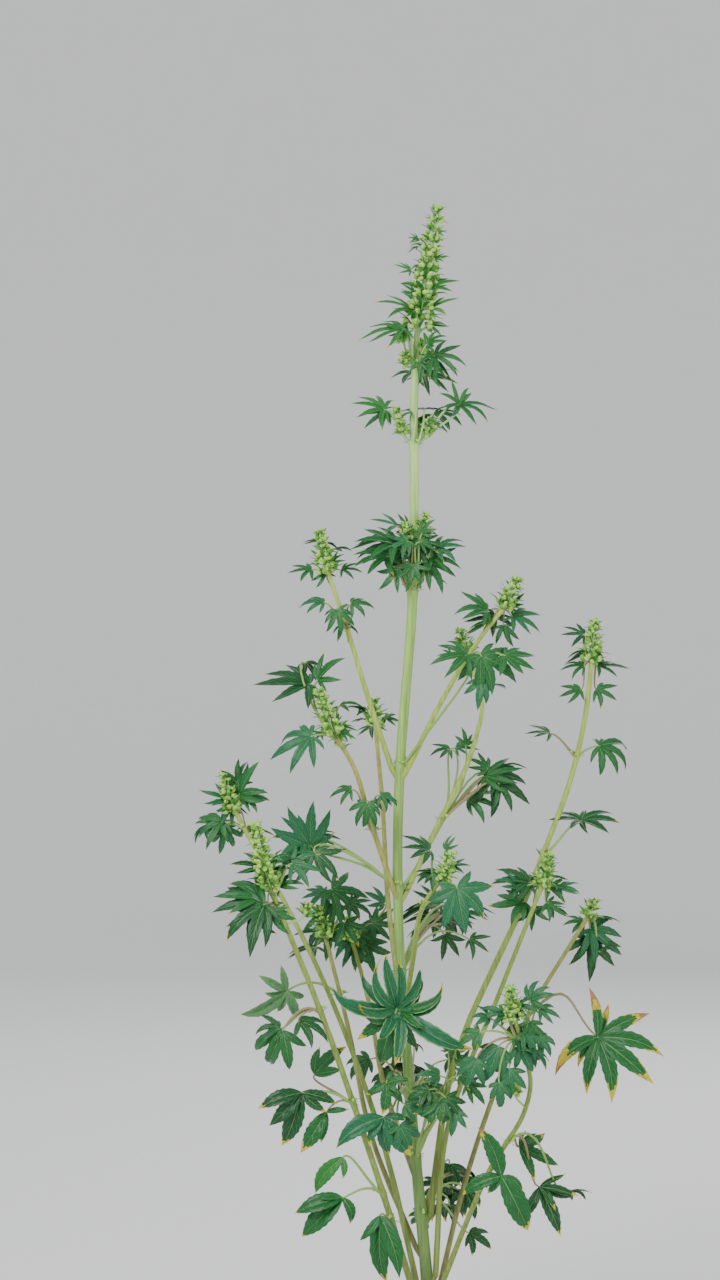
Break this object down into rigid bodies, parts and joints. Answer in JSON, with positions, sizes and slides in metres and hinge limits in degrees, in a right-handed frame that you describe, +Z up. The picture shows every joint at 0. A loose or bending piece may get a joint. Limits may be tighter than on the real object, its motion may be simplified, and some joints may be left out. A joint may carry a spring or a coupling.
{
  "type": "hemp plant",
  "caption": "Tall slender hemp plant in flower, with a straight main stem, rising side branches, webbed hand-shaped leaves and upright spikes of pale buds.",
  "frame": {"origin": "centre of the flat cut under the main stem, at ground level", "axes": "+Z up, +X to the plant's right as seen from the front, +Y away from the viewer"},
  "size_m": [0.331, 0.2527, 0.836],
  "materials": {
    "stem": "satin pale green, lightly ribbed lengthwise",
    "branches": "satin yellow-green, lightly ribbed lengthwise",
    "foliage": "soft satin leaf green",
    "flower_heads": "matte yellow-green buds over leaf green"
  },
  "bodies": {
    "root": {"branch_back_left": "branches", "branch_back_right": "branches", "branch_far_left": "branches", "branch_front_left": "branches", "branch_front_mid": "branches", "branch_front_right": "branches", "branch_inner_left": "branches", "branch_inner_right": "branches", "branch_mid_left": "branches", "branch_mid_right": "branches", "branch_tall_right": "branches", "branch_upper_back": "branches", "branch_upper_left": "branches", "branch_upper_right": "branches", "flower_spike_top": "flower_heads", "head_back_left": "flower_heads", "head_back_right": "flower_heads", "head_far_left": "flower_heads", "head_front_left": "flower_heads", "head_front_mid": "flower_heads", "head_front_right": "flower_heads", "head_inner_left": "flower_heads", "head_inner_right": "flower_heads", "head_mid_left": "flower_heads", "head_mid_right": "flower_heads", "head_tall_right": "flower_heads", "head_upper_back": "flower_heads", "head_upper_left": "flower_heads", "head_upper_right": "flower_heads", "leaves_back_high": "foliage", "leaves_back_low": "foliage", "leaves_back_mid": "foliage", "leaves_centre_base": "foliage", "leaves_crown": "foliage", "leaves_far_left_low": "foliage", "leaves_front_curled": "foliage", "leaves_front_fan": "foliage", "leaves_front_left_low": "foliage", "leaves_front_left_side": "foliage", "leaves_front_low": "foliage", "leaves_front_spray": "foliage", "leaves_inner_left_side": "foliage", "leaves_left_base": "foliage", "leaves_left_fan": "foliage", "leaves_left_low": "foliage", "leaves_mid_left_high": "foliage", "leaves_mid_left_low": "foliage", "leaves_mid_left_outer": "foliage", "leaves_mid_right_low": "foliage", "leaves_neck": "foliage", "leaves_right_base": "foliage", "leaves_right_low": "foliage", "leaves_scorched": "foliage", "leaves_tall_right_left": "foliage", "leaves_tall_right_low": "foliage", "leaves_tall_right_side": "foliage", "leaves_top": "foliage", "leaves_upper_left_low": "foliage", "leaves_upper_right_low": "foliage", "main_stem": "stem"}
  },
  "joints": []
}
